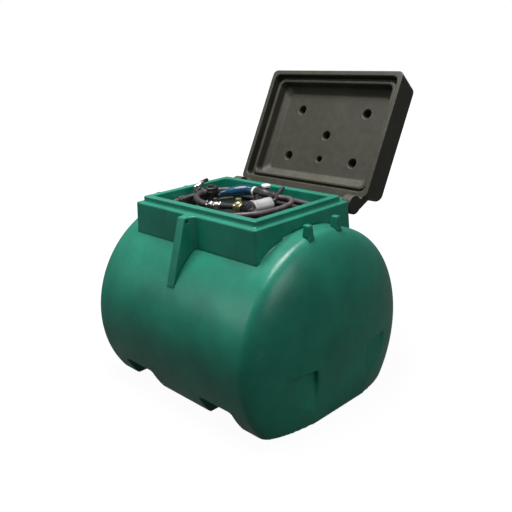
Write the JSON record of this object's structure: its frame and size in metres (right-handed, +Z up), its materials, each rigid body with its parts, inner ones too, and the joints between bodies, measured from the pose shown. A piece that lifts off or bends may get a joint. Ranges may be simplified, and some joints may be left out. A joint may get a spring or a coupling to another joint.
{
  "type": "diesel tank",
  "caption": "Horizontal plastic diesel tank with fork channels, a pump bay on top holding pump, hose and nozzle, and a black hinged lid standing open.",
  "frame": {"origin": "on the floor, under the middle of the tank", "axes": "+X along the tank to its right-hand end, +Y to the hinge side, +Z up"},
  "size_m": [1.4518, 1.5587, 1.6405],
  "materials": {
    "tank_green": "rotomoulded, satin",
    "lid_black": "rotomoulded, satin",
    "steel": "bright",
    "motor_paint": "silver paint",
    "black_casting": "black coated casting",
    "brass": "satin",
    "black_plastic": "moulded",
    "hose_rubber": "dull",
    "nozzle_black": "dark coated",
    "white_plastic": "moulded",
    "sleeve_blue": "moulded"
  },
  "bodies": {
    "tank": {"barrel_middle": "tank_green", "barrel_left_band": "tank_green", "barrel_right_band": "tank_green", "left_end": "tank_green", "right_end": "tank_green", "left_foot": "tank_green", "middle_foot": "tank_green", "right_foot": "tank_green", "left_front_lug": "tank_green", "left_back_lug": "tank_green", "right_front_lug": "tank_green", "right_back_lug": "tank_green", "collar_front": "tank_green", "collar_back": "tank_green", "collar_left": "tank_green", "collar_right": "tank_green", "bay_floor": "tank_green", "lock_rib": "tank_green", "left_hinge_block": "tank_green", "right_hinge_block": "tank_green", "left_hinge_pin": "steel", "right_hinge_pin": "steel", "pump_bracket": "black_casting", "pump_motor": "motor_paint", "pump_head": "black_casting", "delivery_elbow": "black_casting", "suction_elbow": "brass", "ball_valve": "steel", "valve_lever": "black_plastic", "suction_pipe": "hose_rubber", "filter": "black_casting", "level_gauge": "steel", "filler_neck": "black_plastic", "filler_cap": "white_plastic", "delivery_hose": "hose_rubber", "nozzle_body": "nozzle_black", "nozzle_ring": "white_plastic", "spout_sleeve": "sleeve_blue"},
    "lid": {"lid_top": "lid_black", "lid_front_wall": "lid_black", "lid_back_wall": "lid_black", "lid_left_wall": "lid_black", "lid_right_wall": "lid_black", "left_lid_knuckle": "lid_black", "right_lid_knuckle": "lid_black"}
  },
  "joints": [
    {"name": "lid_hinge", "type": "hinge", "parent": "tank", "child": "lid", "pos_m": [0, 0.412, 0.972], "axis": [1, 0, 0], "range_deg": [0, 118]}
  ]
}
